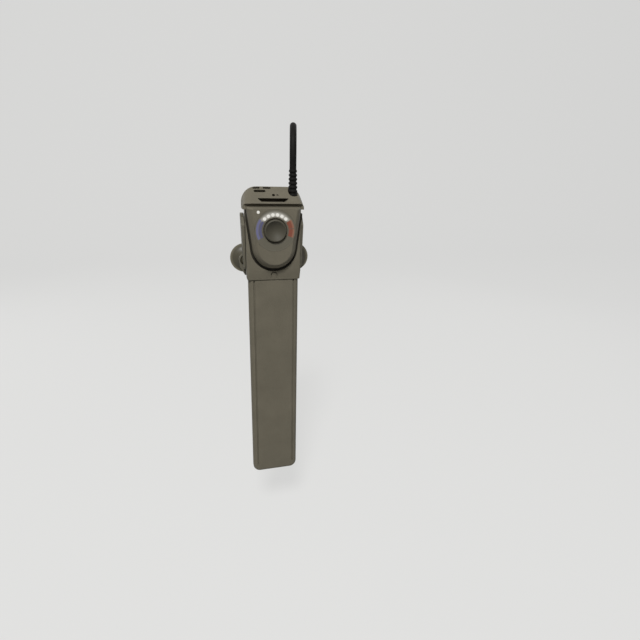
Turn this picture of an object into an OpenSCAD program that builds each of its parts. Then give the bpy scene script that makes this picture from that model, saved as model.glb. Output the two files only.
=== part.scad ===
// Submersible aquarium heater: a flat heating blade under a control head, in a holder with suction cups.
// +Z is up, the front faces -Y and +X is to the right. The origin lies on the glass pane,
// midway between the centres of the two suction cups.

/* [Blade] */
// Width of the heating blade
blade_w = 38; // [32:1:46]
// Thickness of the heating blade
blade_t = 9; // [8.5:0.5:11]
// Length of the blade below the head
blade_len = 175.5; // [120:0.5:240]
// Wall of the blade's case
blade_wall = 1.6; // [1.2:0.1:2]
// Radius of the blade's long edges
blade_edge_r = 3.2; // [3:0.1:4.2]
// Radius of the blade's two bottom corners
blade_foot_r = 6; // [4:0.5:9]
// How far the blade's case goes up into the head
blade_seat = 6; // [4:0.5:7]
// Width of the sunk crease on each side of the blade's flat front
crease_w = 0.8; // [0.5:0.1:1.2]
// Depth of that crease
crease_d = 0.4; // [0.2:0.1:0.6]

/* [Heating element] */
// Thickness of each of the two mica sheets
mica_t = 0.8; // [0.5:0.1:1]
// Thickness of the heating foil between them
foil_t = 0.2; // [0.1:0.05:0.3]
// Number of times that the foil crosses the blade
foil_turns = 19; // [11:2:25]
// Width of the foil's track
foil_track = 2.4; // [1.5:0.1:3]
// Bare margin between the foil and the edges of the mica
foil_margin = 3; // [2:0.5:5]
// Depth of the sealing plug in the mouth of the blade
plug_depth = 15; // [13:1:20]
// Radius of the two lead wires
lead_r = 0.9; // [0.6:0.1:1.1]
// Distance between the two lead wires
lead_gap = 8; // [6:0.5:10]
// Radius of the thermal cut-out
cutout_r = 1.6; // [1.2:0.1:1.8]
// Length of the thermal cut-out
cutout_len = 9; // [6:0.5:9.5]

/* [Head] */
// How far the head's sides stand out beyond the blade, each side
head_side = 1.2; // [1:0.1:2]
// How far the head's faces stand out beyond the blade's, front and back
head_face = 2; // [1.8:0.1:3]
// Height of the head under its cap
head_h = 51.5; // [48:0.5:58]
// How far the head's lower edge lies below the centres of the suction cups
collar_drop = 12.5; // [9:0.5:14]
// Height of the tapered collar at the head's lower end
collar_h = 7; // [6:0.5:8]
// How far the collar's lower edge stands out beyond the blade
collar_step = 0.8; // [0.6:0.1:1]
// Thickness of the head's back wall
back_wall = 2.2; // [1.8:0.1:3]
// Radius of the head's upright edges
head_edge_r = 1.5; // [1:0.1:2]
// Width of the snap tab in the collar
tab_w = 5; // [4:0.5:7]
// Height of the snap tab
tab_h = 6; // [5:0.5:7]
// Width of the cut round the snap tab
tab_cut = 0.7; // [0.5:0.1:1]

/* [Front cover] */
// How far the raised front cover stands out from the head
cover_t = 6.5; // [6:0.1:8]
// How far the cover rises above the head, in front of the cap
cover_over = 2; // [1:0.5:3]
// Radius of the cover's round lower end
cover_foot_r = 16; // [14:0.5:17]
// Height of the collar's bare face below the cover
cover_drop = 9; // [6.5:0.5:11]
// How far the cover's rounded flank runs in from its outline
cover_flank = 3.6; // [2.5:0.1:4]
// Thickness of the cover's front wall
cover_wall = 2; // [1.6:0.1:2.5]
// Width of the shadow groove round the cover
groove_w = 1.5; // [0.6:0.1:1.8]
// Depth of that groove
groove_d = 1.8; // [0.6:0.1:2]
// Width of the rubber gasket behind the cover
gasket_w = 0.8; // [0.6:0.1:1]
// Thickness of the gasket
gasket_t = 0.8; // [0.5:0.1:1]

/* [Cap] */
// Height of the cap
cap_h = 15; // [13:0.5:18]
// How far the cap's sides stand out beyond the head
cap_side = 1.8; // [1.2:0.1:2.5]
// How far the cap's lip stands out in front of the head
cap_lip = 2.2; // [1.5:0.1:3]
// Height of the cap's front lip
lip_h = 2.3; // [2:0.1:5]
// Height of the gap between the front cover's top and the lip
lip_gap = 3; // [0.3:0.1:3.5]
// Radius of the cap's shoulders
shoulder_r = 11; // [8:0.5:11]
// Distance between the end of the finger ledge and the middle of the cord's outlet
ledge_end = 3.5; // [3.4:0.1:6]
// Width of the finger ledge, measured down the slope
ledge_h = 4; // [3:0.1:4.4]
// Depth of the finger ledge
ledge_d = 3; // [1:0.1:3.2]

/* [Button and dial] */
// How far the button's centre lies below the top of the head's housing
button_down = 14; // [13:0.5:16]
// Radius of the button's face
button_r = 7.9; // [7:0.1:8.2]
// Radius of the hole for the button
bore_r = 8.7; // [8.5:0.05:8.8]
// Gap all round the button's skirt in its hole
button_fit = 0.05; // [0.03:0.01:0.1]
// How far the button's face stands out of the cover
button_out = 2.2; // [1.5:0.1:3]
// Travel of the button
button_travel = 0.8; // [0.5:0.1:0.8]
// Outer radius of the smoked dial window
dial_r = 14.6; // [14:0.1:14.8]
// Inner radius of the dial window
dial_in_r = 9.2; // [9:0.1:9.4]
// Thickness of the dial window
dial_t = 1; // [0.8:0.1:1.2]
// Radius of the circle that the lamps stand on
lamp_ring_r = 11.1; // [10.8:0.1:11.4]
// Radius of each lamp's lens
lamp_r = 1.2; // [0.8:0.05:1.25]
// Number of white lamps
lamp_count = 6; // [4:1:6]
// Angle between neighbouring lamps
lamp_step = 17; // [15:1:17]
// Inner radius of the coloured bars
bar_in_r = 9.7; // [9.5:0.1:10]
// Outer radius of the coloured bars
bar_out_r = 13.7; // [13:0.1:13.8]
// Thickness of the coloured bars
bar_t = 0.4; // [0.3:0.1:0.6]

/* [Circuit board] */
// Thickness of the board
board_t = 1.6; // [1:0.2:2]
// Distance from the head's front face back to the board's front face
board_depth = 3.6; // [3.4:0.1:3.8]
// Width and height of the switch under the button
switch_w = 6; // [5:0.5:7]
// Depth of the switch
switch_t = 3.2; // [3:0.1:3.4]

/* [Holder] */
// Height of the suction cups from the glass to the holder
cup_h = 6.5; // [5.5:0.5:9]
// Radius of the suction cups
cup_r = 11.25; // [9:0.25:14]
// How far the cups' centres lie inside the holder's outer sides
cup_inset = 2.2; // [0.5:0.1:3]
// Radius of the neck of each cup
neck_r = 2.6; // [2.2:0.1:3]
// Thickness of the holder at the suction cups
ear_t = 4; // [3.6:0.1:5]
// Thickness of the holder's back plate
plate_t = 2.5; // [2:0.1:3]
// Radius of the round ear that carries each cup
ear_r = 5.2; // [4.8:0.1:6]
// How far the wings reach below the cups' centres
wing_drop = 5.5; // [4:0.5:6]
// How far the wings reach above the cups' centres
wing_rise = 32.5; // [28:0.5:33]
// How far the wings reach forward from the back plate
wing_reach = 9; // [7:0.5:10]
// Thickness of the wings at their lower end
wing_t = 1.2; // [1:0.1:1.6]
// Extra thickness of the wings at their upper end
wing_flare = 1.2; // [0.6:0.1:1.6]
// Free play between the head and the holder, at the sides
slide_play = 0.3; // [0.3:0.05:0.5]
// Free play between the head's back and the holder
back_play = 0.4; // [0.3:0.05:0.6]
// Depth of the guide grooves in the head's sides
rail_d = 1.4; // [1.2:0.1:1.5]
// Width of the guide grooves
rail_w = 1.8; // [1.6:0.1:2]
// Thickness of the head's rear edge behind the grooves
rail_edge = 1.5; // [1.3:0.1:1.8]

/* [Mains cord] */
// Diameter of the cord
cord_d = 5; // [4.5:0.1:5.5]
// Distance of the cord's outlet from the cap's side
outlet_side = 7; // [5:0.5:7.5]
// Length of the strain relief above its seat
relief_h = 22; // [20:1:30]
// Radius of the strain relief at its seat
relief_r = 3.5; // [3.2:0.1:3.7]
// Number of loops in the tied hank
hank_loops = 5; // [3:1:8]
// Distance between neighbouring loops of the hank
hank_pitch = 5.6; // [5.5:0.1:7]
// Radius of the hank's folds
fold_r = 15; // [15:0.5:20]
// Half the length of the hank's runs, between its folds
run_half = 30; // [30:1:40]
// Half the distance between the runs where the tie draws them in
waist_half = 3; // [2.9:0.1:6]
// Width of the plug's body
plug_w = 35.3; // [34:0.1:36]
// Thickness of the plug's body
plug_t = 13.7; // [13:0.1:15]
// Length of the plug's body
plug_len = 37; // [34:1:42]
// Radius of the plug's pins
pin_r = 2; // [1.9:0.05:2.4]
// Length of the plug's pins
pin_len = 19; // [17:1:19]
// Distance between the plug's pins
pin_gap = 18.6; // [17.5:0.1:19]

/* [Hidden] */
$fn = 48;
SMOOTH = 96;

// Depths, from the glass forward
plate_back = -cup_h;
plate_front = plate_back - ear_t;
head_back = plate_front - back_play;
head_t = blade_t + 2 * head_face;
head_mid = head_back - head_t / 2;
head_front = head_back - head_t;
cover_front = head_front - cover_t;
cover_inner = cover_front + cover_wall;
cavity_back = head_back - back_wall;
board_front = head_front + board_depth;
board_rear = board_front + board_t;

// Heights
collar_bottom = -collar_drop;
collar_top = collar_bottom + collar_h;
head_top = collar_bottom + head_h;
cap_top = head_top + cap_h;
blade_bottom = collar_bottom - blade_len;
blade_top = collar_bottom + blade_seat;
cover_top = head_top + cover_over;
cover_bottom = collar_bottom + cover_drop;
foot_z = cover_bottom + cover_foot_r;
button_z = head_top - button_down;
plug_bottom = blade_top - plug_depth;

// Widths
head_w = blade_w + 2 * head_side;
cap_half = head_w / 2 + cap_side;
cover_half = head_w / 2 - 0.3;
blade_in_w = blade_w - 2 * blade_wall;
blade_in_t = blade_t - 2 * blade_wall;

// Clearance of a piece that drops into a seat of its own body
seat_gap = 0.1;
cavity_inset = 3;
gasket_inset = 1.5;
board_inset = 4.2;
top_wall = 1.7;
board_top = head_top - top_wall - 0.3;
board_half = cover_half - board_inset;
board_room = cavity_back - board_rear;

// ---------------------------------------------------------------- helpers

function unit(v) = v / norm(v);

function tangent(path, i) =
  unit(path[min(i + 1, len(path) - 1)] - path[max(i - 1, 0)]);

// The point where the line from the corner [x, z] touches the circle round [0, cz]
function touch_point(x, z, cz, r) =
  let (a = atan2(z - cz, x) - acos(r / norm([x, z - cz])))
  [r * cos(a), cz + r * sin(a)];

// Points of an arc, from angle a to angle b
function arc(x, z, r, a, b, steps) =
  [for (i = [0:steps]) let (t = a + (b - a) * i / steps) [x + r * cos(t), z + r * sin(t)]];

function dial_point(r, angle) = [r * sin(angle), button_z + r * cos(angle)];

// Puts a shape drawn in width and height upright, its front towards -Y
module upright(y_back, depth) {
  translate([0, y_back, 0]) rotate([90, 0, 0]) linear_extrude(depth) children();
}

// A round bar along -Y
module bar_y(x, y_back, z, r, depth, fn = SMOOTH) {
  translate([x, y_back, z]) rotate([90, 0, 0]) cylinder(r = r, h = depth, $fn = fn);
}

module rounded_rect(w, h, r) {
  square([w - 2 * r, h], center = true);
  square([w, h - 2 * r], center = true);
  for (x = [-1, 1], y = [-1, 1])
    translate([x * (w / 2 - r), y * (h / 2 - r)]) circle(r);
}

module both_sides() {
  children();
  mirror([1, 0, 0]) children();
}

// A closed tube along a path; flat_dir is a direction that the path never runs along
module tube(path, r, sides, flat_dir) {
  last = (len(path) - 1) * sides;
  points = [
    for (i = [0:len(path) - 1])
      let (t = tangent(path, i), n = unit(cross(flat_dir, t)), m = cross(t, n))
      for (j = [0:sides - 1])
        path[i] + r * (cos(360 * j / sides) * n + sin(360 * j / sides) * m)
  ];
  faces = [
    for (i = [0:len(path) - 2], j = [0:sides - 1])
      let (a = i * sides + j, b = i * sides + (j + 1) % sides)
      each [[a, a + sides, b + sides], [a, b + sides, b]],
    for (j = [1:sides - 2]) each [[0, j, j + 1], [last, last + j + 1, last + j]]
  ];
  polyhedron(points, faces);
}

// ---------------------------------------------------------------- outlines

// The tongue-shaped outline of the front cover: straight sides that meet a round foot
module cover_outline(inset = 0, top_inset = 0) {
  half = cover_half - inset;
  r = cover_foot_r - inset;
  top = cover_top - top_inset;
  corner = touch_point(half, top, foot_z, r);
  translate([0, foot_z]) circle(r, $fn = SMOOTH);
  polygon([corner, [half, top], [-half, top], [-corner[0], corner[1]]]);
}

// The same outline, ended below the top of the head's housing
module housing_outline(inset, top) {
  intersection() {
    cover_outline(inset);
    translate([-head_w, collar_bottom]) square([2 * head_w, top - collar_bottom]);
  }
}

module blade_outline(grow = 0) {
  rounded_rect(blade_w + 2 * grow, blade_t + 2 * grow, blade_edge_r + grow);
}

module dial_sector(r_in, r_out, a, b) {
  reach = 2 * r_out;
  translate([0, button_z]) intersection() {
    difference() {
      circle(r_out, $fn = SMOOTH);
      circle(r_in, $fn = SMOOTH);
    }
    polygon([[0, 0], for (i = [0:4]) let (t = a + (b - a) * i / 4) [reach * sin(t), reach * cos(t)]]);
  }
}

// ---------------------------------------------------------------- blade

// The blade's outer form: straight down to the foot, which closes in rounded steps
module blade_form() {
  slice = 0.01;
  hull() {
    translate([0, head_mid, blade_bottom + blade_foot_r])
      linear_extrude(blade_top - blade_bottom - blade_foot_r) blade_outline($fn = 32);
    for (a = [30:30:90])
      translate([0, head_mid, blade_bottom + blade_foot_r * (1 - sin(a))])
        linear_extrude(slice)
          rounded_rect(blade_w - 2 * blade_foot_r * (1 - cos(a)), blade_t - blade_edge_r * (1 - cos(a)),
                       blade_edge_r * (1 + cos(a)) / 2, $fn = 32);
  }
}

module blade_shell() {
  crease_x = blade_w / 2 - blade_edge_r - crease_w - 0.2;
  floor_t = 2 * blade_wall;
  color([0.39, 0.38, 0.36]) difference() {
    blade_form();
    translate([0, head_mid, blade_bottom + floor_t]) linear_extrude(blade_len + blade_seat)
      rounded_rect(blade_in_w, blade_in_t, 1.5);
    both_sides() translate([crease_x, head_mid - blade_t / 2 - 1, blade_bottom + blade_foot_r + 1.3])
      cube([crease_w, 1 + crease_d, blade_len]);
  }
}

element_top = plug_bottom;
element_bottom = blade_bottom + blade_foot_r + 2;
element_h = element_top - element_bottom;
foil_front = head_mid - foil_t / 2;

module mica(y_back) {
  translate([-blade_in_w / 2, y_back - mica_t, element_bottom]) cube([blade_in_w, mica_t, element_h]);
}

module mica_front() {
  color([0.76, 0.68, 0.5]) mica(foil_front);
}

module mica_back() {
  color([0.76, 0.68, 0.5]) mica(head_mid + foil_t / 2 + mica_t);
}

// One unbroken track: to and fro up the blade to the left lead, and back up the right edge to the right lead
module heating_foil() {
  track_gap = 1.2;
  pitch = foil_track + track_gap;
  left = -blade_in_w / 2 + foil_margin;
  total = blade_in_w - 2 * foil_margin;
  width = total - pitch - 0.8;
  low = element_bottom + foil_margin;
  return_z = element_top - pitch;
  step = (return_z - pitch - low) / foil_turns;
  top_z = low + foil_turns * step;
  lead_x = lead_gap / 2;
  color([0.72, 0.72, 0.74]) upright(head_mid + foil_t / 2, foil_t) {
    translate([left, low]) square([total, foil_track]);
    for (i = [1:foil_turns - 1]) translate([left, low + i * step]) square([width, foil_track]);
    for (i = [0:foil_turns - 1])
      translate([i % 2 == 0 ? left : left + width - foil_track, low + i * step])
        square([foil_track, step + foil_track]);
    // top crossing and tail to the left lead
    translate([left, top_z]) square([-lead_x + foil_track / 2 - left, foil_track]);
    translate([-lead_x - foil_track / 2, top_z]) square([foil_track, element_top - top_z]);
    // return track, its crossing and tail to the right lead
    translate([left + total - foil_track, low]) square([foil_track, return_z + foil_track - low]);
    translate([lead_x - foil_track / 2, return_z]) square([left + total - lead_x + foil_track / 2, foil_track]);
    translate([lead_x - foil_track / 2, return_z]) square([foil_track, element_top - return_z]);
  }
}

// The heat-conducting filler that packs the element against the blade's two faces
module heat_filler() {
  stack = mica_t + foil_t / 2;
  depth = blade_in_t / 2 - stack;
  color([0.82, 0.8, 0.74])
    for (y = [head_mid - blade_in_t / 2, head_mid + stack])
      translate([-blade_in_w / 2 + blade_edge_r, y, element_bottom])
        cube([blade_in_w - 2 * blade_edge_r, depth, element_h]);
}

module sealing_plug() {
  color([0.16, 0.15, 0.15]) difference() {
    translate([0, head_mid, plug_bottom]) linear_extrude(plug_depth - 2)
      rounded_rect(blade_in_w - 2 * seat_gap, blade_in_t - 2 * seat_gap, 2);
    both_sides() translate([lead_gap / 2, head_mid, plug_bottom - 1])
      cylinder(r = lead_r + moulded_gap, h = plug_depth);
    translate([cutout_x, head_mid, plug_bottom - 1]) cylinder(r = cutout_r + moulded_gap, h = cutout_len + 1);
  }
}

// The cut-out stands upright in the plug, beside the right lead wire, with its foot on the element
cutout_x = lead_gap / 2 + lead_r + cutout_r + 1;
moulded_gap = 0.03;

module thermal_cutout() {
  color([0.8, 0.78, 0.72]) translate([cutout_x, head_mid, plug_bottom]) cylinder(r = cutout_r, h = cutout_len);
}

// Two insulated wires from the foil up to the back of the board
lead_top = cover_bottom + cavity_inset + 8;

module lead_wires() {
  color([0.62, 0.1, 0.1]) both_sides() translate([lead_gap / 2, head_mid, 0]) {
    translate([0, 0, plug_bottom]) cylinder(r = lead_r, h = lead_top - plug_bottom);
    translate([0, lead_r, lead_top - lead_r]) rotate([90, 0, 0])
      cylinder(r = lead_r, h = lead_r + head_mid - board_rear);
  }
}

// ---------------------------------------------------------------- head

module head_section(w, t) {
  translate([0, head_mid]) rounded_rect(w, t, head_edge_r, $fn = 32);
}

post_r = 2.1;
post_in = 4.7;
post_down = 7;
post_up = 8;
screw_r = 1;
screw_len = 4;
screw_head_r = 1.9;
screw_head_t = 1.1;
board_posts = [
  [-board_half + post_in, board_top - post_down],
  [board_half - post_in, board_top - post_down],
  [0, cover_bottom + post_up]
];
outlet_x = cap_half - outlet_side;
outlet_y = head_mid + 0.4;
inner_cord_end = head_top - 5;

module head_housing() {
  rail_y = head_back - rail_edge;
  color([0.38, 0.37, 0.35]) {
    difference() {
      union() {
        translate([0, 0, collar_top]) linear_extrude(head_top - collar_top) head_section(head_w, head_t);
        hull() {
          translate([0, 0, collar_top]) linear_extrude(0.01) head_section(head_w, head_t);
          translate([0, 0, collar_bottom]) linear_extrude(0.01)
            head_section(blade_w + 2 * collar_step, blade_t + 2 * collar_step);
        }
      }
      // inside of the housing, open to the front
      upright(cavity_back, cavity_back - head_front + 1) housing_outline(cavity_inset, head_top - top_wall);
      // seat of the gasket
      upright(head_front + gasket_t, gasket_t + 1) difference() {
        housing_outline(gasket_inset, head_top - 0.4);
        housing_outline(gasket_inset + gasket_w, head_top - 0.4 - gasket_w);
      }
      // shadow groove round the front cover
      upright(head_front + groove_d, groove_d + 1) difference() {
        translate([0, -groove_w / 2]) cover_outline(-groove_w);
        cover_outline();
      }
      // seat of the blade
      translate([0, head_mid, collar_bottom - 1]) linear_extrude(blade_seat + 1) blade_outline(seat_gap);
      both_sides() translate([lead_gap / 2, head_mid, blade_top - 1]) cylinder(r = lead_r + 0.2, h = 10);
      // guide grooves, closed at the top, where the holder's rails stop
      both_sides() translate([head_w / 2 - rail_d, rail_y - rail_w, collar_bottom - 1])
        cube([2 * rail_d, rail_w, wing_rise + 0.3 - collar_bottom + 1]);
      // cut that frees the snap tab
      upright(head_front + head_face - 0.6, head_face + 1) difference() {
        tab_outline(0);
        tab_outline(tab_cut);
      }
      // way in for the cord
      translate([outlet_x, outlet_y, inner_cord_end]) cylinder(r = cord_d / 2 + seat_gap, h = head_h);
      // hole for the temperature probe
      bar_y(0, head_back + 1, probe_z, probe_r, back_wall + 2);
    }
    difference() {
      for (p = board_posts) bar_y(p[0], cavity_back, p[1], post_r, cavity_back - board_rear);
      for (p = board_posts) bar_y(p[0], board_rear + screw_len, p[1], screw_r, screw_len + 1);
    }
  }
}

module tab_outline(inset) {
  half = tab_w / 2 - inset;
  top = collar_bottom + tab_h - inset;
  translate([-half, collar_bottom - 1]) square([2 * half, top - half - collar_bottom + 1]);
  translate([0, top - half]) circle(half);
}

probe_z = 14;
probe_r = 2;

module temperature_probe() {
  color([0.75, 0.75, 0.76]) {
    bar_y(0, head_back, probe_z, probe_r, back_wall);
    bar_y(0, cavity_back, probe_z, probe_r + 0.8, 0.8);
  }
}

module cover_gasket() {
  color([0.08, 0.08, 0.08]) upright(head_front + gasket_t, gasket_t) difference() {
    housing_outline(gasket_inset, head_top - 0.4);
    housing_outline(gasket_inset + gasket_w, head_top - 0.4 - gasket_w);
  }
}

// ---------------------------------------------------------------- electronics

module circuit_board() {
  color([0.05, 0.3, 0.16]) difference() {
    upright(board_rear, board_t) housing_outline(board_inset, board_top);
    for (p = board_posts) bar_y(p[0], board_rear + 1, p[1], screw_r, board_t + 2);
    // notch round the cord's end
    translate([outlet_x, outlet_y, inner_cord_end - 1]) cylinder(r = cord_d / 2 + 0.5, h = head_h);
  }
}

module board_screws() {
  color([0.7, 0.7, 0.72]) for (p = board_posts) {
    bar_y(p[0], board_rear + screw_len, p[1], screw_r, screw_len + board_t);
    bar_y(p[0], board_front, p[1], screw_head_r, screw_head_t);
  }
}

// A part on the back of the board: its left side, its foot and its sizes
module on_board_back(left, low, w, h, t) {
  translate([left, board_rear, low]) cube([w, t, h]);
}

// Power switch and capacitor stand side by side below the upper posts, the chip above them
power_w = 10;
power_h = 9;
power_tab_h = 4;
power_tab_t = 1.3;
capacitor_w = 9;
capacitor_h = 11;
chip_w = 6;
chip_h = 5;
chip_t = 1.6;
parts_gap = 1;
parts_left = -(power_w + parts_gap + capacitor_w) / 2;
parts_top = board_top - post_down - post_r - 0.4;
power_low = parts_top - power_tab_h - power_h;

module power_switch() {
  color([0.08, 0.08, 0.09]) on_board_back(parts_left, power_low, power_w, power_h, board_room - 1.3);
  color([0.72, 0.72, 0.72])
    on_board_back(parts_left, power_low + power_h, power_w, power_tab_h, power_tab_t);
}

module capacitor() {
  color([0.75, 0.62, 0.12])
    on_board_back(parts_left + power_w + parts_gap, parts_top - capacitor_h, capacitor_w, capacitor_h,
                  board_room - 1.1);
}

module controller_chip() {
  color([0.07, 0.07, 0.08]) on_board_back(-chip_w / 2, board_top - 0.5 - chip_h, chip_w, chip_h, chip_t);
}

function lamp_angles() = [for (i = [0:lamp_count - 1]) (i - (lamp_count - 1) / 2) * lamp_step];

status_x = -11.8;
status_z = button_z + 12.8;
status_r = 1.05;

module lamp_chip(p) {
  translate([p[0] - 1, board_front - 1, p[1] - 0.6]) cube([2, 1, 1.2]);
}

module board_lamps() {
  color([0.95, 0.93, 0.8]) {
    for (a = lamp_angles()) lamp_chip(dial_point(lamp_ring_r, a));
    lamp_chip([status_x, board_top - 1]);
  }
}

plunger_r = 1.7;
plunger_out = 1;
plunger_foot = board_front - 0.8;

module switch_body() {
  color([0.12, 0.12, 0.13]) difference() {
    translate([-switch_w / 2, board_front - switch_t, button_z - switch_w / 2])
      cube([switch_w, switch_t, switch_w]);
    bar_y(0, plunger_foot, button_z, plunger_r + button_fit, switch_t);
  }
}

module switch_plunger() {
  start = plunger_foot - button_travel - 0.1;
  color([0.6, 0.1, 0.08])
    bar_y(0, start, button_z, plunger_r, start - board_front + switch_t + plunger_out);
}

// ---------------------------------------------------------------- front cover and dial

boss_t = 1;
seal_r = lamp_ring_r - lamp_r - 0.1;

module lamp_holes() {
  for (a = lamp_angles()) {
    p = dial_point(lamp_ring_r, a);
    bar_y(p[0], head_front, p[1], lamp_r, cover_t + 1, 24);
  }
}

module front_cover() {
  color([0.4, 0.39, 0.37]) difference() {
    union() {
      difference() {
        hull() {
          upright(head_front, 0.01) cover_outline($fn = 32);
          for (a = [0:22.5:90])
            upright(head_front - 1.2 - (cover_t - 1.21) * sin(a), 0.01)
              cover_outline(cover_flank * (1 - cos(a)), 0.9 * (1 - cos(a)));
        }
        upright(head_front + 1, head_front + 1 - cover_inner) housing_outline(cavity_inset, head_top - 0.4);
      }
      bar_y(0, cover_inner + boss_t, button_z, seal_r, boss_t + 0.5);
    }
    bar_y(0, head_front, button_z, bore_r, cover_t + 1);
    upright(cover_front + dial_t, dial_t + 1) translate([0, button_z]) difference() {
      circle(dial_r + seat_gap, $fn = SMOOTH);
      circle(dial_in_r, $fn = SMOOTH);
    }
    lamp_holes();
    bar_y(status_x, head_front, status_z, status_r, cover_t + 1, 24);
  }
}

BLUE_FROM = -118;
BLUE_TO = -54;
RED_FROM = 55;
RED_TO = 112;
red_split = (RED_FROM + RED_TO) / 2;

module blue_outline() {
  mid = bar_in_r + 0.45 * (bar_out_r - bar_in_r);
  dial_sector(bar_in_r, mid, BLUE_FROM, BLUE_TO);
  dial_sector(mid + 0.35, bar_out_r, BLUE_FROM, BLUE_TO);
}

module red_outline() {
  dial_sector(bar_in_r, bar_out_r, RED_FROM, red_split - 1);
  dial_sector(bar_in_r, bar_out_r, red_split + 1, RED_TO);
}

module dial_window() {
  color([0.22, 0.22, 0.22]) difference() {
    upright(cover_front + dial_t, dial_t) translate([0, button_z]) difference() {
      circle(dial_r, $fn = SMOOTH);
      circle(dial_in_r + seat_gap, $fn = SMOOTH);
    }
    upright(cover_front + bar_t, bar_t + 1) blue_outline();
    upright(cover_front + bar_t, bar_t + 1) red_outline();
    lamp_holes();
  }
}

module blue_bar() {
  color([0.36, 0.36, 0.6]) upright(cover_front + bar_t, bar_t) blue_outline();
}

module red_bars() {
  color([0.62, 0.32, 0.26]) upright(cover_front + bar_t, bar_t) red_outline();
}

// Clear rods that carry each lamp's light to the face of the dial
module lamp_rod(p, back, r) {
  bar_y(p[0], back, p[1], r, back - cover_front, 24);
}

module lamp_lenses() {
  color([0.95, 0.95, 0.92]) for (a = lamp_angles())
    lamp_rod(dial_point(lamp_ring_r, a), board_front - 1, lamp_r);
}

module status_lens() {
  color([0.98, 0.98, 0.96]) lamp_rod([status_x, status_z], cover_inner + 0.6, status_r);
}

flange_r = 9.1;
flange_back = cover_inner + boss_t + 0.1;
flange_t = 0.8;
stem_r = 2.4;

// The button's cap with its dished face, guide skirt, stop flange and stem, turned about its axis
module button() {
  face = button_out + (cover_inner - cover_front) + boss_t + 0.1;
  stem_end = flange_back + flange_t;
  stem = stem_end - (board_front - switch_t - plunger_out);
  dish = 1.2;
  color([0.2, 0.19, 0.18]) translate([0, flange_back, button_z]) rotate([90, 0, 0]) {
    rotate_extrude($fn = SMOOTH) polygon([
      [0, -flange_t], [flange_r, -flange_t], [flange_r, 0], [bore_r - button_fit, 0],
      [bore_r - button_fit, face - button_out - 1], [button_r, face - button_out - 0.8],
      each arc(button_r - 0.9, face - 0.9, 0.9, 0, 90, 6),
      for (i = [1:8]) let (t = 1 - i / 8) [t * (button_r - 0.9), face - dish * (1 - t * t)]
    ]);
    translate([0, 0, -flange_t + stem]) cylinder(r = stem_r, h = -stem);
  }
}

// Rubber boot behind the button; the stem runs through its middle
module button_seal() {
  web = 0.6;
  inner_r = flange_r + 0.15;
  depth = boss_t + 0.1 + flange_t + button_travel + 0.3;
  color([0.05, 0.05, 0.05]) translate([0, cover_inner + depth + web, button_z]) rotate([90, 0, 0])
    difference() {
      cylinder(r = seal_r, h = depth + web - boss_t, $fn = SMOOTH);
      translate([0, 0, web]) cylinder(r = inner_r, h = depth, $fn = SMOOTH);
      translate([0, 0, -1]) cylinder(r = stem_r + button_fit, h = web + 2, $fn = SMOOTH);
    }
}

// ---------------------------------------------------------------- cap

slope_back = head_back - 3.1;
cap_front = head_front - cap_lip;
lip_bottom = cover_top + lip_gap;
lip_top = lip_bottom + lip_h;
slope_front = cap_front + 1.5;
slope_a = atan2(cap_top - lip_top, slope_back - slope_front);
ledge_half = outlet_x - ledge_end;
ledge_low = 0.6;
ledge_taper = 2.5;

module cap_slice(y, half, top, r) {
  upright(y, 0.01) polygon([
    [-half, head_top], [half, head_top],
    each arc(half - r, top - r, r, 0, 90, 8),
    each arc(-half + r, top - r, r, 90, 180, 8)
  ]);
}

// Draws on the cap's sloped front: x across, -y down the slope, z out of it
module on_slope() {
  translate([0, slope_back, cap_top]) rotate([slope_a, 0, 0]) children();
}

module top_cap() {
  slope_len = norm([cap_top - lip_top, slope_back - slope_front]);
  front_r = min(shoulder_r, lip_top - head_top - 0.5);
  color([0.36, 0.35, 0.33]) difference() {
    hull() {
      cap_slice(head_back, cap_half - 0.8, cap_top - 0.8, shoulder_r);
      cap_slice(head_back - 1, cap_half, cap_top, shoulder_r);
      cap_slice(slope_back, cap_half, cap_top, shoulder_r);
      cap_slice(slope_front, cap_half, lip_top, front_r);
      cap_slice(cap_front, cap_half - 1, lip_top - 1.2, front_r - 1);
    }
    // room for the front cover, under the lip
    translate([-cap_half - 1, cap_front - 1, head_top - 1])
      cube([2 * cap_half + 2, head_front - cap_front + 1, lip_bottom - head_top + 1]);
    // finger ledge, wider at its upper edge
    on_slope() translate([0, -slope_len + ledge_low, -ledge_d]) linear_extrude(ledge_d + 1) polygon([
      [-ledge_half + ledge_taper, 0], [ledge_half - ledge_taper, 0], [ledge_half, ledge_h], [-ledge_half, ledge_h]
    ]);
    // two vent slots and two pin holes
    on_slope() translate([-9, -4, -1]) linear_extrude(2) rounded_rect(8, 1.5, 0.7);
    on_slope() translate([0.5, -5.2, -1]) cylinder(r = 0.8, h = 2, $fn = 24);
    on_slope() translate([3.4, -5.2, -0.5]) cylinder(r = 0.7, h = 2, $fn = 24);
    on_slope() translate([-10.5, -0.6, -0.8]) linear_extrude(2) rounded_rect(2.6, 1.6, 0.5);
    on_slope() translate([-3, -0.6, -0.8]) linear_extrude(2) rounded_rect(4.6, 1.6, 0.5);
    // seat of the strain relief and way in for the cord
    translate([outlet_x, outlet_y, relief_z]) cylinder(r = relief_r + seat_gap, h = cap_h);
    translate([outlet_x, outlet_y, head_top - 1]) cylinder(r = cord_d / 2 + seat_gap, h = cap_h);
  }
}

// ---------------------------------------------------------------- cord

relief_z = head_top + 5;
relief_top = relief_z + relief_h;

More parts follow.
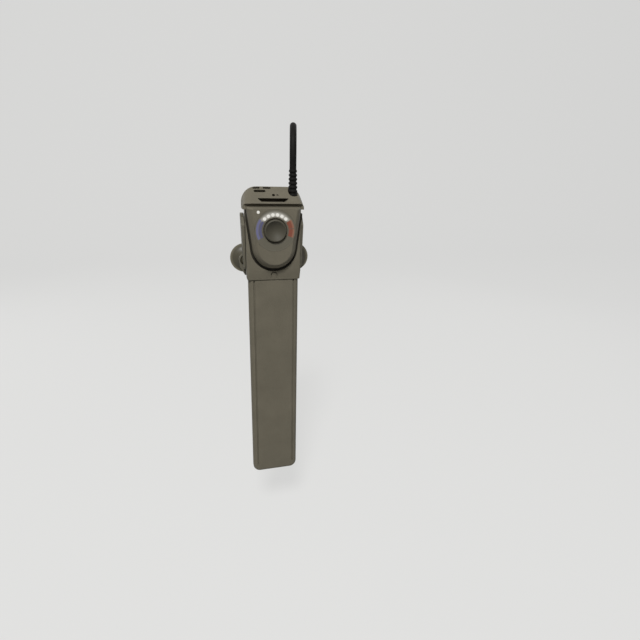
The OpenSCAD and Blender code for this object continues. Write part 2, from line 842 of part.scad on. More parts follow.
module relief_form(h) {
  ribs = 7;
  rib_h = h / (2 * ribs + 2);
  tip_r = cord_d / 2 + 0.35;
  slope = (relief_r - tip_r) / h;
  rotate_extrude($fn = 48) polygon([
    [0, 0], [relief_r, 0],
    for (i = [0:ribs - 1]) let (z = (2 * i + 2) * rib_h, r = relief_r - slope * z)
      each [[r, z], [r - 0.45, z], [r - 0.45, z + rib_h], [r - slope * rib_h, z + rib_h]],
    [tip_r, h], [0, h]
  ]);
}

module strain_relief() {
  color([0.09, 0.09, 0.1]) translate([outlet_x, outlet_y, relief_z]) relief_form(relief_h);
}

module inner_cord() {
  color([0.12, 0.12, 0.12]) translate([outlet_x, outlet_y, inner_cord_end])
    cylinder(r = cord_d / 2, h = relief_z - inner_cord_end);
}

// The cord's own frame: its origin on top of the strain relief, turned so that the arch runs straight back
CORD_TURN = 11;

module cord_frame() {
  translate([outlet_x, outlet_y, relief_top]) rotate([0, 0, -CORD_TURN]) children();
}

// The arch over the tank's rim, down to the hank
LEAD = [
  [0, 0, 0], [0, 0, 5], [0, 0, 10], [0, 2.5, 20], [0, 10, 27.5], [0, 20, 30], [0, 30, 27.5],
  [0, 37.5, 20], [0, 40, 10], [0, 40, -2], [0, 40, -14], [0, 40, -26], [0, 40, -38], [0, 40, -47], [0, 40, -52]
];
// From the hank to the plug
TAIL = [
  [0, 0, 0], [0, 0, -5], [-1.5, 0, -16], [-7.5, 0, -30], [-13.5, 0, -44], [-15, 0, -55], [-15, 0, -60]
];
hank_depth = hank_loops * hank_pitch;
hank_at = LEAD[len(LEAD) - 1] - [fold_r, 0, run_half + cord_d];
tail_at = hank_at + [fold_r, hank_depth, -run_half - cord_d];

// The hank's loops lie side by side, drawn in at the waist; each climbs one pitch on its way up
function waist(z) = waist_half + (fold_r - waist_half) * (1 - cos(180 * z / run_half)) / 2;
function climb(z) = hank_pitch * (1 - cos(90 * (z + run_half) / run_half)) / 2;
function hank_point(k, y) =
  let (s = k % 6, z = run_half - s * run_half / 3)
  k < 6 ? [waist(z), y, z]
  : k < 12 ? [fold_r * cos(30 * s), y, -run_half - fold_r * sin(30 * s)]
  : k < 18 ? [-waist(z), y + climb(-z), -z]
  : [-fold_r * cos(30 * s), y + hank_pitch, run_half + fold_r * sin(30 * s)];
hank_path = [
  [fold_r, 0, run_half + cord_d],
  for (i = [0:hank_loops - 1], k = [0:23]) hank_point(k, i * hank_pitch),
  for (k = [0:6]) hank_point(k, hank_depth),
  [fold_r, hank_depth, -run_half - cord_d]
];

function path_length(p) = len(p) < 2 ? 0 : norm(p[1] - p[0]) + path_length([for (i = [1:len(p) - 1]) p[i]]);
function least_gap(p, d) =
  min([for (i = [0:len(p) - 10], j = [i + 9:len(p) - 1]) norm(p[i] - p[j])]) - d;

echo(str("Least gap of the hank to itself: ", least_gap(hank_path, cord_d), " mm"));
echo(str("Length of the cord: ", path_length(LEAD) + path_length(hank_path) + path_length(TAIL), " mm"));

module cord() {
  color([0.1, 0.1, 0.1]) cord_frame() tube(LEAD, cord_d / 2, 10, [1, 0, 0]);
}

module cord_hank() {
  color([0.1, 0.1, 0.1]) cord_frame() translate(hank_at) tube(hank_path, cord_d / 2, 6, [0, 1, 0]);
}

module cord_tail() {
  color([0.1, 0.1, 0.1]) cord_frame() translate(tail_at) tube(TAIL, cord_d / 2, 10, [0, 1, 0]);
}

// The band is as wide inside as the loops are at its upper and lower edges
module cord_tie() {
  band = 1.2;
  tie_h = 8;
  tie_fit = 0.2;
  step = run_half / 3;
  edge = waist_half + (waist(step) - waist_half) * tie_h / 2 / step;
  w = 2 * edge + 1.06 * cord_d + tie_fit;
  d = hank_depth + cord_d + tie_fit;
  color([0.05, 0.05, 0.05]) cord_frame() translate(hank_at + [0, hank_depth / 2, -tie_h / 2])
    linear_extrude(tie_h) difference() {
      rounded_rect(w + 2 * band, d + 2 * band, 1.8 + band);
      rounded_rect(w, d, 1.8);
    }
}

plug_relief = 15;
plug_neck_w = 13;
plug_neck_t = 10;
plug_waist = 14;
plug_taper = 26;

// Stands at the end of the cord's tail, turned back so that the pins' row runs along X
module plug_frame() {
  cord_frame() translate(tail_at + TAIL[len(TAIL) - 1]) rotate([0, 0, CORD_TURN]) children();
}

module plug_body() {
  color([0.07, 0.07, 0.07]) plug_frame() {
    translate([0, 0, -plug_relief]) relief_form(plug_relief);
    hull() {
      translate([0, 0, -plug_relief - 3]) linear_extrude(3) rounded_rect(plug_neck_w, plug_neck_t, 4, $fn = 32);
      translate([0, 0, -plug_relief - plug_waist]) linear_extrude(0.01)
        rounded_rect(plug_w - 8, plug_t - 1, 5, $fn = 32);
      translate([0, 0, -plug_relief - plug_len]) linear_extrude(plug_len - plug_taper)
        rounded_rect(plug_w, plug_t, 5.5, $fn = 32);
    }
  }
}

module plug_pins() {
  sleeve = 10;
  color([0.8, 0.78, 0.7]) plug_frame() both_sides()
    translate([pin_gap / 2, 0, -plug_relief - plug_len - pin_len]) {
      translate([0, 0, 1]) cylinder(r = pin_r, h = pin_len - sleeve - 1);
      cylinder(r1 = pin_r - 0.8, r2 = pin_r, h = 1);
      translate([0, 0, pin_len - sleeve]) cylinder(r = pin_r - 0.1, h = sleeve);
    }
}

// ---------------------------------------------------------------- holder and cups

wing_in = head_w / 2 + slide_play;
web_back = plate_front + plate_t;
cup_gap = 2 * (wing_in + wing_t - cup_inset);
window_w = 16;
window_h = 20;
rib_in = 6;
rib_w = 1.6;
knob_r = 4;
knob_t = 2;

module wing() {
  front = plate_front - wing_reach;
  low = wing_in + wing_t;
  lip_y = head_back - rail_edge - 0.15;
  lip_t = rail_w - 0.3;
  // side wall, thicker towards its upper end, with its front corners cut off
  intersection() {
    upright(web_back, web_back - front) polygon([
      [wing_in, -wing_drop], [low, -wing_drop], [low + wing_flare, wing_rise], [wing_in, wing_rise]
    ]);
    translate([wing_in - 1, 0, 0]) rotate([90, 0, 90]) linear_extrude(wing_t + wing_flare + 2) polygon([
      [0, -wing_drop], [front + 2, -wing_drop], [front, -wing_drop + 3], [front, wing_rise - 5],
      [front + 5, wing_rise], [0, wing_rise]
    ]);
  }
  // rail that runs in the head's guide groove
  translate([wing_in - rail_d + 0.5, lip_y - lip_t, -wing_drop])
    cube([rail_d - 0.4, lip_t, wing_rise + wing_drop]);
}

module holder() {
  color([0.3, 0.29, 0.28]) difference() {
    union() {
      upright(web_back, plate_t) difference() {
        translate([-wing_in - wing_t, -wing_drop]) square([2 * (wing_in + wing_t), wing_rise + wing_drop]);
        translate([0, probe_z + 1]) rounded_rect(window_w, window_h, 3);
      }
      both_sides() {
        wing();
        bar_y(cup_gap / 2, plate_back, 0, ear_r, ear_t);
        // gusset from the ear down to the foot of the plate
        upright(plate_back, ear_t) polygon([
          [cup_gap / 2 + ear_r, 0], [cup_gap / 2 + ear_r - 0.6, -ear_r], [cup_gap / 2 + 1, -2.2 * ear_r],
          [cup_gap / 2 - 3, -2.2 * ear_r], [cup_gap / 2 - 3, 0]
        ]);
        // stiffening rib up the back
        translate([wing_in - rib_in, web_back, ear_r]) cube([rib_w, ear_t - plate_t, wing_rise - ear_r - 3]);
      }
    }
    both_sides() {
      bar_y(cup_gap / 2, plate_back + 1, 0, neck_r + seat_gap, ear_t + 2);
      bar_y(cup_gap / 2, plate_front + knob_t + 0.2, 0, knob_r + 0.2, knob_t + 2);
    }
  }
}

// A suction cup: thin bell on the glass, neck through the holder and knob in front of it
module suction_cup(x) {
  neck = ear_t - knob_t - 0.2;
  bell = neck_r + 1;
  rim_w = 1.1;
  hollow = 1.8;
  color([0.45, 0.44, 0.41]) translate([x, 0, 0]) rotate([90, 0, 0]) rotate_extrude($fn = SMOOTH) polygon([
    [cup_r - rim_w, 0], [cup_r, 0],
    for (i = [0:8]) let (t = i / 8) [cup_r - (cup_r - bell) * t, 0.5 + (cup_h - 1.5) * pow(t, 2.2)],
    [bell, cup_h], [neck_r, cup_h], [neck_r, cup_h + neck],
    [knob_r, cup_h + neck], [knob_r, cup_h + neck + 0.7], [knob_r - 1.2, cup_h + neck + knob_t - 0.2],
    [0, cup_h + neck + knob_t - 0.2],
    for (i = [0:7]) let (t = i / 8) [(cup_r - rim_w) * t, hollow * cos(90 * t)]
  ]);
}

module suction_cup_left() {
  suction_cup(-cup_gap / 2);
}

module suction_cup_right() {
  suction_cup(cup_gap / 2);
}

holder();
suction_cup_left();
suction_cup_right();
blade_shell();
mica_front();
heating_foil();
mica_back();
heat_filler();
sealing_plug();
thermal_cutout();
lead_wires();
head_housing();
temperature_probe();
cover_gasket();
circuit_board();
board_screws();
power_switch();
capacitor();
controller_chip();
board_lamps();
switch_body();
front_cover();
dial_window();
blue_bar();
red_bars();
lamp_lenses();
status_lens();
button_seal();
top_cap();
strain_relief();
inner_cord();
cord();
cord_hank();
cord_tail();
cord_tie();
plug_body();
plug_pins();
button();
switch_plunger();
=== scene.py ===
import math

import bmesh
import bpy
from mathutils import Matrix, Vector


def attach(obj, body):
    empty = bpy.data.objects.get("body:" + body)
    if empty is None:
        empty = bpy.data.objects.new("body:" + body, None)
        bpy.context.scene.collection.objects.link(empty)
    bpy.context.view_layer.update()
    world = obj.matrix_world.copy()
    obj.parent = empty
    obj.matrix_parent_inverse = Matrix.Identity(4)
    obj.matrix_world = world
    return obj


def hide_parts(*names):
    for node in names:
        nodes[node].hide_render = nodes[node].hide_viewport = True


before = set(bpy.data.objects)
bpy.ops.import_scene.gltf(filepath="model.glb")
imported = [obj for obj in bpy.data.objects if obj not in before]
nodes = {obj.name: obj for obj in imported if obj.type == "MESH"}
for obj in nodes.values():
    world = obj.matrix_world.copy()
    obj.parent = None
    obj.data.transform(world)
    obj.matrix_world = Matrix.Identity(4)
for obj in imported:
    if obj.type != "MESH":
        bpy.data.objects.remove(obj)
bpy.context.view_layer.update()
scene = bpy.context.scene
scene.view_settings.view_transform = "Standard"

# ---------------------------------------------------------------- camera
# The view is from the heater's left front and from above, close by, with a wide lens.
camera_data = bpy.data.cameras.new("camera")
camera_data.lens = 24.216
camera_data.sensor_width = 36
camera = bpy.data.objects.new("camera", camera_data)
camera.location = (-0.04729, -0.33675, 0.07091)
camera.rotation_euler = [math.radians(a) for a in (69.991, -1.657, -14.397)]
scene.collection.objects.link(camera)
scene.camera = camera

# ---------------------------------------------------------------- studio
# A pale floor below the heater, bent up into a pale backdrop. The key lamp stands high in front
# at the left, and two weaker ones light the edges from behind at each side.
floor_z, floor_near, wall_y, bend_r, room_half, room_top = -0.26, -3, 1.2, 0.8, 4, 4


def verts_of(geometry):
    """The vertices in an operator's result."""
    return [g for g in geometry if isinstance(g, bmesh.types.BMVert)]


sweep_mesh = bpy.data.meshes.new("sweep")
bm = bmesh.new()
start = [bm.verts.new((-room_half, y, floor_z)) for y in (floor_near, wall_y)]
bm.edges.new(start)
bend = bmesh.ops.spin(bm, geom=[start[1]], cent=(-room_half, wall_y, floor_z + bend_r), axis=(1, 0, 0),
                      dvec=(0, 0, 0), angle=math.radians(90), steps=16, use_merge=False,
                      use_duplicate=False)
top = bm.verts.new((-room_half, wall_y + bend_r, room_top))
bm.edges.new((verts_of(bend["geom_last"])[0], top))
wide = bmesh.ops.extrude_edge_only(bm, edges=bm.edges[:])
bmesh.ops.translate(bm, vec=(2 * room_half, 0, 0), verts=verts_of(wide["geom"]))
bmesh.ops.recalc_face_normals(bm, faces=bm.faces)
bm.to_mesh(sweep_mesh)
bm.free()
sweep_mesh.shade_smooth()
sweep = bpy.data.objects.new("sweep", sweep_mesh)
scene.collection.objects.link(sweep)


def reckoned(tree, operation, *values):
    """What a Math node makes of some values, each a number or another node's output."""
    node = tree.nodes.new("ShaderNodeMath")
    node.operation = operation
    for socket, value in zip(node.inputs, values):
        if isinstance(value, bpy.types.NodeSocket):
            tree.links.new(value, socket)
        else:
            socket.default_value = value
    return node.outputs[0]


def seen_rays(tree):
    """1 for the rays that show or mirror a surface, and 0 for those that only light others."""
    rays = tree.nodes.new("ShaderNodeLightPath")
    shown = reckoned(tree, "MAXIMUM", rays.outputs["Is Camera Ray"], rays.outputs["Is Glossy Ray"])
    return reckoned(tree, "MAXIMUM", shown, rays.outputs["Is Transmission Ray"])


paper = bpy.data.materials.new("studio_paper")
paper.use_nodes = True
tree = paper.node_tree
tree.nodes.clear()
matt = tree.nodes.new("ShaderNodeBsdfDiffuse")
matt.inputs["Color"].default_value = (0.42, 0.42, 0.41, 1)
glow = tree.nodes.new("ShaderNodeEmission")
glow.inputs["Color"].default_value = (0.9, 0.9, 0.89, 1)
mix = tree.nodes.new("ShaderNodeMixShader")
out = tree.nodes.new("ShaderNodeOutputMaterial")
glow_share = 0.7
tree.links.new(reckoned(tree, "MULTIPLY", seen_rays(tree), glow_share), mix.inputs["Fac"])
tree.links.new(matt.outputs[0], mix.inputs[1])
tree.links.new(glow.outputs[0], mix.inputs[2])
tree.links.new(mix.outputs[0], out.inputs["Surface"])
sweep_mesh.materials.append(paper)

world = bpy.data.worlds.new("studio")
world.use_nodes = True
tree = world.node_tree
level = tree.nodes.new("ShaderNodeMapRange")
level.inputs["To Min"].default_value = 0.09
level.inputs["To Max"].default_value = 0.71
tree.links.new(seen_rays(tree), level.inputs["Value"])
tree.nodes["Background"].inputs["Color"].default_value = (1, 1, 1, 1)
tree.links.new(level.outputs["Result"], tree.nodes["Background"].inputs["Strength"])
scene.world = world


def lamp(name, place, target, size, power):
    """A round soft lamp, its size in metres and its power in watts."""
    data = bpy.data.lights.new(name, "AREA")
    data.shape = "DISK"
    data.size = size
    data.energy = power
    obj = bpy.data.objects.new(name, data)
    obj.location = place
    obj.rotation_euler = (Vector(target) - Vector(place)).to_track_quat("-Z", "Y").to_euler()
    scene.collection.objects.link(obj)


lamp("lamp_key", place=(-0.34, -1.22, 1.4), target=(0, 0, -0.04), size=0.42, power=39)
lamp("rim_left", place=(-0.7, 0.6, 0.3), target=(0, 0, -0.05), size=0.5, power=2)
lamp("rim_right", place=(0.7, 0.6, 0.3), target=(0, 0, -0.05), size=0.5, power=0.8)

# ---------------------------------------------------------------- mains cord
# A round two-core rubber cord, 5 mm thick, that rises from the cap, bends back over the tank's rim,
# is folded into a tied hank behind the heater, and ends in a flat moulded plug.


def linear(red, green, blue):
    """A colour written as 0-255 values, as the shader takes it."""
    shares = [value / 255 for value in (red, green, blue)]
    return tuple(((c + 0.055) / 1.055) ** 2.4 if c > 0.04045 else c / 12.92 for c in shares)


def new_group(name, inputs, outputs):
    """A shader group with its inputs' first values, and its two end nodes."""
    group = bpy.data.node_groups.new(name, "ShaderNodeTree")
    for socket, value in inputs.items():
        kind = "NodeSocketColor" if isinstance(value, tuple) else "NodeSocketFloat"
        group.interface.new_socket(socket, in_out="INPUT", socket_type=kind).default_value = value
    for socket in outputs:
        kind = "NodeSocketColor" if socket == "Color" else "NodeSocketFloat"
        group.interface.new_socket(socket, in_out="OUTPUT", socket_type=kind)
    return group, group.nodes.new("NodeGroupInput"), group.nodes.new("NodeGroupOutput")


def moulded_group():
    """Colour, roughness and height of a moulded surface: fine grain, with faint broad clouds in it."""
    group, given, put = new_group(
        "moulded_surface",
        inputs={"Color": (0.5, 0.5, 0.5, 1), "Roughness": 0.5, "Grain scale": 3000.0, "Clouds": 0.1},
        outputs=["Color", "Roughness", "Height"])
    made, link = group.nodes.new, group.links.new
    place = made("ShaderNodeTexCoord")
    grain = made("ShaderNodeTexNoise")
    grain.inputs["Detail"].default_value = 3
    cloud = made("ShaderNodeTexNoise")
    cloud.inputs["Scale"].default_value = 70
    cloud.inputs["Detail"].default_value = 4
    link(place.outputs["Object"], grain.inputs["Vector"])
    link(place.outputs["Object"], cloud.inputs["Vector"])
    link(given.outputs["Grain scale"], grain.inputs["Scale"])
    both = reckoned(group, "ADD", grain.outputs["Fac"], cloud.outputs["Fac"])
    around_zero = reckoned(group, "SUBTRACT", both, 1.0)
    swing = reckoned(group, "MULTIPLY", around_zero, given.outputs["Clouds"])
    level = reckoned(group, "ADD", swing, 1.0)
    tint = made("ShaderNodeVectorMath")
    tint.operation = "SCALE"
    link(given.outputs["Color"], tint.inputs[0])
    link(level, tint.inputs["Scale"])
    link(tint.outputs[0], put.inputs["Color"])
    link(reckoned(group, "MULTIPLY", given.outputs["Roughness"], level), put.inputs["Roughness"])
    link(grain.outputs["Fac"], put.inputs["Height"])
    return group


moulded = moulded_group()


def finish(name, colour, rough, grain=3000, clouds=0.25, depth=0.00004, metallic=0.0, coat=0.0, gloss=0.5):
    """A material with the moulded surface; depth is the height of its grain in metres."""
    material = bpy.data.materials.new(name)
    material.use_nodes = True
    tree = material.node_tree
    shader = tree.nodes["Principled BSDF"]
    surface = tree.nodes.new("ShaderNodeGroup")
    surface.node_tree = moulded
    surface.inputs["Color"].default_value = (*linear(*colour), 1)
    surface.inputs["Roughness"].default_value = rough
    surface.inputs["Grain scale"].default_value = grain
    surface.inputs["Clouds"].default_value = clouds
    bump = tree.nodes.new("ShaderNodeBump")
    bump.inputs["Strength"].default_value = 0.6
    bump.inputs["Distance"].default_value = depth
    tree.links.new(surface.outputs["Color"], shader.inputs["Base Color"])
    tree.links.new(surface.outputs["Roughness"], shader.inputs["Roughness"])
    tree.links.new(surface.outputs["Height"], bump.inputs["Height"])
    tree.links.new(bump.outputs["Normal"], shader.inputs["Normal"])
    shader.inputs["Metallic"].default_value = metallic
    shader.inputs["Specular IOR Level"].default_value = gloss
    shader.inputs["Coat Weight"].default_value = coat
    return material


def dress(node, material):
    """Gives a carried-over CAD node its material."""
    mesh = nodes[node].data
    mesh.materials.clear()
    mesh.materials.append(material)


cord_d = 0.005
outlet = Vector((0.015, -0.017, 0.066))
cord_turn = Matrix.Rotation(math.radians(-11), 3, "Z")
# The route is in millimetres from the outlet: up, over the rim, and down behind the heater.
lead = [(0, 0, 0), (0, 0, 5), (0, 0, 10), (0, 2.5, 20), (0, 10, 27.5), (0, 20, 30), (0, 30, 27.5),
        (0, 37.5, 20), (0, 40, 10), (0, 40, -2), (0, 40, -14), (0, 40, -26), (0, 40, -38), (0, 40, -47),
        (0, 40, -52)]
tail = [(0, 0, 0), (0, 0, -5), (-1.5, 0, -16), (-7.5, 0, -30), (-13.5, 0, -44), (-15, 0, -55), (-15, 0, -60)]
loops, pitch, fold_r, run_half, waist_half, lead_in = 5, 5.6, 15, 30, 3, 5
points_a_side = 6
hank_at = Vector(lead[-1]) - Vector((fold_r, 0, run_half + lead_in))
tail_at = hank_at + Vector((fold_r, loops * pitch, -run_half - lead_in))


def waist(z):
    """Half of a loop's width at one height, drawn in by the tie."""
    return waist_half + (fold_r - waist_half) * (1 - math.cos(math.pi * z / run_half)) / 2


def climb(z):
    """How far a loop has come on its way to the next one."""
    return pitch * (1 - math.cos(math.pi / 2 * (z + run_half) / run_half)) / 2


def hank_point(k, y):
    """Point k of the loop at y: down its right side, round its foot, up its left side, round its head."""
    s = k % points_a_side
    z = run_half - 2 * run_half * s / points_a_side
    turn = math.pi * s / points_a_side
    if k < points_a_side:
        return (waist(z), y, z)
    if k < 2 * points_a_side:
        return (fold_r * math.cos(turn), y, -run_half - fold_r * math.sin(turn))
    if k < 3 * points_a_side:
        return (-waist(z), y + climb(-z), -z)
    return (-fold_r * math.cos(turn), y + pitch, run_half + fold_r * math.sin(turn))


route = [Vector(p) for p in lead]
for i in range(loops):
    route += [hank_at + Vector(hank_point(k, i * pitch)) for k in range(4 * points_a_side)]
route += [hank_at + Vector(hank_point(k, loops * pitch)) for k in range(points_a_side + 1)]
route += [tail_at + Vector(p) for p in tail]


def smoothed(points, steps):
    """Points on the smooth line through the given ones."""
    ends = [points[0] * 2 - points[1], *points, points[-1] * 2 - points[-2]]
    found = []
    for a, b, c, d in zip(ends, ends[1:], ends[2:], ends[3:]):
        for i in range(steps):
            t = i / steps
            found.append(0.5 * (2 * b + (c - a) * t + (2 * a - 5 * b + 4 * c - d) * t * t
                                + (3 * b - a - 3 * c + d) * t ** 3))
    return found + [points[-1]]


millimetre = 0.001
cord_line = [outlet + cord_turn @ (p * millimetre) for p in smoothed(route, steps=4)]
cord_curve = bpy.data.curves.new("mains_cord", "CURVE")
cord_curve.dimensions = "3D"
cord_curve.bevel_depth = cord_d / 2
cord_curve.bevel_resolution = 4
cord_curve.use_fill_caps = True
spline = cord_curve.splines.new("POLY")
spline.points.add(len(cord_line) - 1)
for point, place in zip(spline.points, cord_line):
    point.co = (*place, 1)
mains_cord = bpy.data.objects.new("mains_cord", cord_curve)
scene.collection.objects.link(mains_cord)
cord_rubber = finish("cord_rubber", (12, 11, 9), 0.65, grain=1800, clouds=0.3, gloss=0.12)
cord_curve.materials.append(cord_rubber)
cord_length = sum((b - a).length for a, b in zip(cord_line, cord_line[1:]))
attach(mains_cord, "heater")
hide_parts("cord", "cord_hank", "cord_tail")
dress("inner_cord", cord_rubber)


def smooth(obj):
    """Shades a piece smooth, except at its sharp edges."""
    obj.data.shade_smooth()
    obj.data.set_sharp_from_angle(angle=math.radians(34))


def piece(name, bm, body, material):
    """Makes the finished mesh an object at the origin that rides on its body."""
    mesh = bpy.data.meshes.new(name)
    bm.to_mesh(mesh)
    bm.free()
    mesh.materials.append(material)
    obj = bpy.data.objects.new(name, mesh)
    scene.collection.objects.link(obj)
    smooth(obj)
    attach(obj, body)
    return obj


def baked(obj):
    """Makes the piece's modifiers part of its mesh."""
    graph = bpy.context.evaluated_depsgraph_get()
    mesh = bpy.data.meshes.new_from_object(obj.evaluated_get(graph))
    obj.modifiers.clear()
    obj.data = mesh


def cleaned(obj, distance):
    """Merges points closer than a distance, so that no face is left without an area."""
    bm = bmesh.new()
    bm.from_mesh(obj.data)
    bmesh.ops.remove_doubles(bm, verts=bm.verts, dist=distance)
    bmesh.ops.dissolve_degenerate(bm, edges=bm.edges, dist=distance)
    bm.to_mesh(obj.data)
    bm.free()
    smooth(obj)


def broken_edges(obj, width, limit=38):
    """Takes the sharpness off the edges that turn by more than a limit, as a mould does."""
    cleaned(obj, distance=0.00003)
    edges = obj.modifiers.new("edges", "BEVEL")
    edges.width = width
    edges.segments = 2
    edges.limit_method = "ANGLE"
    edges.angle_limit = math.radians(limit)
    baked(obj)
    cleaned(obj, distance=0.000002)
    flat = obj.modifiers.new("flat_faces", "WEIGHTED_NORMAL")
    flat.keep_sharp = True
    flat.weight = 90
    baked(obj)


def moulded_copy(name, node, body, material, width, reshape=None, cutters=()):
    """The CAD piece with its triangles merged, changed by reshape or cutters, and its edges broken."""
    bm = bmesh.new()
    bm.from_mesh(nodes[node].data)
    bmesh.ops.remove_doubles(bm, verts=bm.verts, dist=2e-6)
    bmesh.ops.dissolve_limit(bm, angle_limit=math.radians(0.4), verts=bm.verts, edges=bm.edges)
    if reshape:
        reshape(bm)
    obj = piece(name, bm, body, material)
    if cutters:
        cut_out(obj, cutters)
    broken_edges(obj, width)
    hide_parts(node)
    return obj


def turned(bm, profile, steps, at, axis="Y"):
    """Turns a profile of (radius, distance) points about an axis through a point, into a closed body."""
    if axis == "Y":
        line = [bm.verts.new((at[0] + r, at[1] - d, at[2])) for r, d in profile]
        around = (0, 1, 0)
    else:
        line = [bm.verts.new((at[0] + r, at[1], at[2] + d)) for r, d in profile]
        around = (0, 0, 1)
    edges = [bm.edges.new(pair) for pair in zip(line, line[1:])]
    bmesh.ops.spin(bm, geom=line + edges, cent=at, axis=around, dvec=(0, 0, 0), angle=math.radians(360),
                   steps=steps, use_merge=True, use_duplicate=False)
    bmesh.ops.remove_doubles(bm, verts=bm.verts, dist=1e-6)
    bmesh.ops.recalc_face_normals(bm, faces=bm.faces)


# One rib of the strain relief and the cut above it: share of the rib's step, and depth below its top.
rib_shape = ((0.04, 0.0), (0.14, 0.00018), (0.2, 0.00055), (0.4, 0.0006), (0.52, 0.00055), (0.6, 0.00022),
             (0.7, 0.00005))
rib_start, relief_lip, relief_lip_r = 0.8, 0.0004, 0.0003


def relief_profile(height, foot_r, tip_r, ribs):
    """Half of a strain relief: a tapered sleeve cut into soft ribs, that ends in a thin lip."""
    step = height / (ribs + 1)
    points = [(0, 0), (foot_r, 0), (foot_r, step * rib_start)]
    for i in range(ribs):
        low = step * (i + rib_start)
        r = foot_r + (tip_r - foot_r) * low / height
        points += [(r - depth, low + share * step) for share, depth in rib_shape]
    return points + [(tip_r, height - relief_lip), (tip_r - relief_lip_r, height), (0, height)]


# The tapered rubber sleeve, seated in the cap, that keeps the cord from kinking.
relief_foot_z = 0.044
bm = bmesh.new()
sleeve = relief_profile(height=0.022, foot_r=0.0035, tip_r=cord_d / 2 + 0.00035, ribs=7)
turned(bm, sleeve, steps=64, at=(outlet.x, outlet.y, relief_foot_z), axis="Z")
strain_relief = piece("relief_sleeve", bm, "heater", cord_rubber)
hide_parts("strain_relief")

tie_rubber = finish("tie_rubber", (26, 26, 27), 0.42)
cord_tie = moulded_copy("hank_band", "cord_tie", "heater", tie_rubber, width=0.0003)

# The flat two-pin plug of hard rubber. Its pins are half insulated, with rounded metal ends.
plug_plastic = finish("plug_plastic", (30, 30, 31), 0.45, grain=2600)
plug_body = moulded_copy("plug_grip", "plug_body", "heater", plug_plastic, width=0.0004)
dress("plug_pins", finish("pin_brass", (196, 178, 120), 0.3, grain=900, clouds=0.15, metallic=1.0))
print("cord length", round(cord_length, 4))

# ---------------------------------------------------------------- heating element
# Mica sheets with an etched steel foil between them, packed in a pale filler and sealed with a rubber
# plug that holds the two lead wires and the thermal cut-out.
mica = finish("mica", (188, 170, 128), 0.55, grain=700, clouds=0.5)
dress("mica_front", mica)
dress("mica_back", mica)
dress("heating_foil", finish("foil", (190, 190, 192), 0.35, grain=1500, metallic=1.0))
dress("heat_filler", finish("filler", (205, 200, 186), 0.85, grain=1200, clouds=0.5, depth=0.0002))
seal_rubber = finish("seal_rubber", (34, 34, 34), 0.6)
dress("sealing_plug", seal_rubber)
probe_metal = finish("probe_metal", (198, 198, 200), 0.3, grain=1200, metallic=1.0)
dress("thermal_cutout", probe_metal)
dress("lead_wires", finish("wire_red", (158, 26, 24), 0.4))

# ---------------------------------------------------------------- blade
# A closed flat sleeve of graphite-grey glass-filled plastic with a fine eroded texture, moulded in one
# piece, with rounded edges and foot, and a sunk crease at each side of its flat front.
case_plastic = finish("case_plastic", (100, 95, 82), 0.55, grain=1500, clouds=0.36, depth=0.00012, gloss=0.18)


def rounded(bm, edges, width, segments):
    """Rounds some edges off."""
    bmesh.ops.bevel(bm, geom=edges, offset=width, offset_type="OFFSET", affect="EDGES", segments=segments,
                    profile=0.5, material=-1, clamp_overlap=True)


def sliced(bm, place, normal):
    """Parts the faces along a plane, without a gap."""
    bmesh.ops.bisect_plane(bm, geom=bm.verts[:] + bm.edges[:] + bm.faces[:], plane_co=place,
                           plane_no=normal)


def pushed(bm, faces, shift):
    """Moves some faces by a shift, with walls round them."""
    result = bmesh.ops.extrude_face_region(bm, geom=faces)
    bmesh.ops.translate(bm, vec=shift, verts=verts_of(result["geom"]))
    bmesh.ops.delete(bm, geom=[f for f in faces if f.is_valid], context="FACES")


blade_w, blade_t, head_mid = 0.038, 0.009, -0.0174
blade_low, blade_high = -0.188, -0.0065
foot_corner_r, long_edge_r = 0.006, 0.0034
crease_in, crease_out, crease_foot, crease_d = 0.0144, 0.0155, blade_low + 0.0073, 0.0011
tiny = 1e-5  # a length that counts as nothing
bm = bmesh.new()
bmesh.ops.create_cube(bm, size=1)
bmesh.ops.scale(bm, vec=(blade_w, blade_t, blade_high - blade_low), verts=bm.verts)
bmesh.ops.translate(bm, vec=(0, head_mid, (blade_high + blade_low) / 2), verts=bm.verts)
foot_corners = [e for e in bm.edges if all(v.co.z < blade_low + tiny for v in e.verts)
                and abs(e.verts[0].co.y - e.verts[1].co.y) > tiny]
rounded(bm, foot_corners, foot_corner_r, segments=12)
square_edges = [e for e in bm.edges if e.calc_face_angle(0) > 1
                and not all(v.co.z > blade_high - tiny for v in e.verts)]
rounded(bm, square_edges, long_edge_r, segments=10)
for x in (-crease_out, -crease_in, crease_in, crease_out):
    sliced(bm, (x, 0, 0), (1, 0, 0))
sliced(bm, (0, 0, crease_foot), (0, 0, 1))
creases = [f for f in bm.faces if f.normal.y < -0.99 and f.calc_center_median().z > crease_foot
           and crease_in < abs(f.calc_center_median().x) < crease_out]
pushed(bm, creases, (0, crease_d, 0))
bmesh.ops.remove_doubles(bm, verts=bm.verts, dist=1e-7)
bmesh.ops.recalc_face_normals(bm, faces=bm.faces)
blade = piece("blade", bm, "heater", case_plastic)
broken_edges(blade, width=0.00012, limit=60)
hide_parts("blade_shell")

# ---------------------------------------------------------------- head
# The upright housing of the electronics, of the blade's plastic. Its tapered collar is pressed and glued
# over the blade; it has a guide groove at each side and a snap tab that is cut free in the collar.
# A groove in its front takes the foot of the cover's wall; the groove's floor is painted dark as shade.
head_front, cover_t = -0.0239, 0.0065
cover_face = head_front - cover_t
foot_z, foot_r, cover_half, cover_top = 0.0125, 0.016, 0.0199, 0.041
cover_corner_r, cover_draft = 0.0012, 0.00015
groove_w, groove_d, groove_top = 0.0011, 0.002, 0.0004
groove_floor = head_front + groove_d
past = 0.001  # how far a cutter reaches past what it cuts


